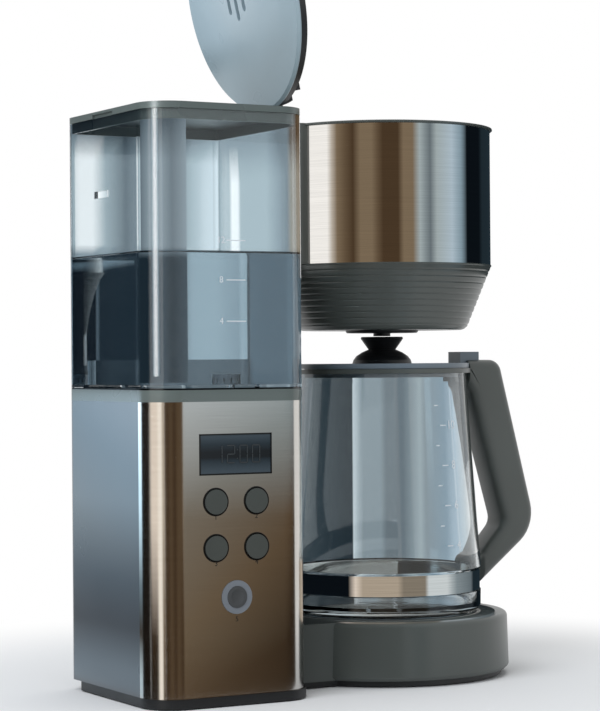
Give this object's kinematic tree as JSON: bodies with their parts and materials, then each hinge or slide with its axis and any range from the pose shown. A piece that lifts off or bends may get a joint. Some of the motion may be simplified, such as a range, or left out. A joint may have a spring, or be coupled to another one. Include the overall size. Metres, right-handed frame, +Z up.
{
  "type": "drip coffee maker",
  "caption": "Drip coffee maker: a tower with water tank and controls beside a hinged round brew head over a glass carafe on a warming base.",
  "frame": {"origin": "on the table, at the centre of the machine's bounding box in plan", "axes": "+Z up, -Y towards the user at the control panel, +X from the tower towards the carafe's handle"},
  "size_m": [0.3262, 0.17, 0.5114],
  "materials": {
    "black_plastic": "fine moulded grain",
    "rubber": "matt",
    "zinc_steel": "bright zinc plated",
    "blue_grey_plastic": "satin",
    "brushed_steel": "brushed, grain along the height",
    "black_gloss": "high gloss",
    "dark_plastic": "matt",
    "board_green": "solder mask",
    "ring_plastic": "satin translucent",
    "grey_plastic": "satin",
    "clear_plastic": "clear, lightly smoked",
    "silicone": "translucent silicone",
    "coated_plate": "non-stick coating",
    "heater_metal": "dull, heat-stained",
    "aluminium": "drawn",
    "ceramic": "moulded phenolic",
    "brass": "plain",
    "white_plastic": "satin",
    "polished_steel": "mirror polished",
    "pale_plastic": "satin",
    "steel_mesh": "fine woven mesh",
    "glass": "clear",
    "button_plastic": "satin"
  },
  "bodies": {
    "machine": {"bottom_plate": "black_plastic", "rubber_feet": "rubber", "housing_screws": "zinc_steel", "tower_housing": "blue_grey_plastic", "rear_cover": "blue_grey_plastic", "cord_gland": "rubber", "steel_front": "brushed_steel", "display_window": "black_gloss", "display_module": "dark_plastic", "control_board": "board_green", "button_switches": "zinc_steel", "light_ring": "ring_plastic", "tank_deck": "grey_plastic", "tank_body": "clear_plastic", "tank_seal": "silicone", "outlet_strainer": "black_plastic", "base_housing": "grey_plastic", "warming_plate": "coated_plate", "plate_seal": "silicone", "heater_tube": "heater_metal", "boiler_tube": "aluminium", "heater_bracket": "zinc_steel", "bracket_screw": "zinc_steel", "thermostat": "ceramic", "thermal_fuse": "brass", "cold_hose": "silicone", "check_valve": "white_plastic", "riser_hose": "silicone", "brew_column": "grey_plastic", "outlet_spout": "black_plastic", "head_housing": "grey_plastic", "head_band": "polished_steel", "head_rim": "grey_plastic", "hinge_pin": "zinc_steel"},
    "tank_lid": {"tank_lid": "grey_plastic"},
    "brew_lid": {"lid_shell": "pale_plastic", "lid_frame": "black_plastic", "shower_plate": "black_plastic", "lid_seal": "silicone"},
    "filter_basket": {"filter_basket": "black_plastic", "drip_seal": "silicone", "valve_cap": "black_plastic", "drip_spring": "zinc_steel"},
    "drip_plunger": {"drip_plunger": "black_plastic"},
    "mesh_filter": {"filter_frame": "black_plastic", "filter_mesh": "steel_mesh"},
    "filter_bail": {"filter_bail": "zinc_steel"},
    "carafe": {"carafe_glass": "glass", "carafe_strap": "polished_steel", "carafe_collar": "grey_plastic", "carafe_handle": "grey_plastic", "strap_screw": "zinc_steel", "carafe_lid": "grey_plastic", "carafe_funnel": "black_plastic", "carafe_lid_pin": "zinc_steel"},
    "hour_button": {"hour_button": "button_plastic"},
    "minute_button": {"minute_button": "button_plastic"},
    "program_button": {"program_button": "button_plastic"},
    "aroma_button": {"aroma_button": "button_plastic"},
    "power_button": {"power_button": "button_plastic"}
  },
  "joints": [
    {"name": "brew_lid_hinge", "type": "hinge", "parent": "machine", "child": "brew_lid", "pos_m": [-0.0329, 0.002, 0.3631], "axis": [0, -1, 0], "range_deg": [-103, 0]},
    {"name": "tank_lid_lift", "type": "slide", "parent": "machine", "child": "tank_lid", "axis": [0, 0, 1], "range_m": [0, 0.045]},
    {"name": "filter_basket_lift", "type": "slide", "parent": "machine", "child": "filter_basket", "axis": [0, 0, 1], "range_m": [0, 0.13]},
    {"name": "drip_plunger_lift", "type": "slide", "parent": "filter_basket", "child": "drip_plunger", "axis": [0, 0, 1], "range_m": [0, 0.003], "stiffness_N_per_m": 150, "springref_m": -0.004, "deforming": ["drip_spring"]},
    {"name": "mesh_filter_lift", "type": "slide", "parent": "filter_basket", "child": "mesh_filter", "axis": [0, 0, 1], "range_m": [0, 0.11]},
    {"name": "filter_bail_swing", "type": "hinge", "parent": "mesh_filter", "child": "filter_bail", "pos_m": [0.0479, 0.002, 0.3453], "axis": [0, -1, 0], "range_deg": [0, 180]},
    {"name": "carafe_slide", "type": "slide", "parent": "machine", "child": "carafe", "axis": [0, -1, 0], "range_m": [0, 0.2]},
    {"name": "hour_button_press", "type": "slide", "parent": "machine", "child": "hour_button", "axis": [0, 1, 0], "range_m": [0, 0.0012], "stiffness_N_per_m": 600},
    {"name": "minute_button_press", "type": "slide", "parent": "machine", "child": "minute_button", "axis": [0, 1, 0], "range_m": [0, 0.0012], "stiffness_N_per_m": 600},
    {"name": "program_button_press", "type": "slide", "parent": "machine", "child": "program_button", "axis": [0, 1, 0], "range_m": [0, 0.0012], "stiffness_N_per_m": 600},
    {"name": "aroma_button_press", "type": "slide", "parent": "machine", "child": "aroma_button", "axis": [0, 1, 0], "range_m": [0, 0.0012], "stiffness_N_per_m": 600},
    {"name": "power_button_press", "type": "slide", "parent": "machine", "child": "power_button", "axis": [0, 1, 0], "range_m": [0, 0.0012], "stiffness_N_per_m": 600}
  ]
}
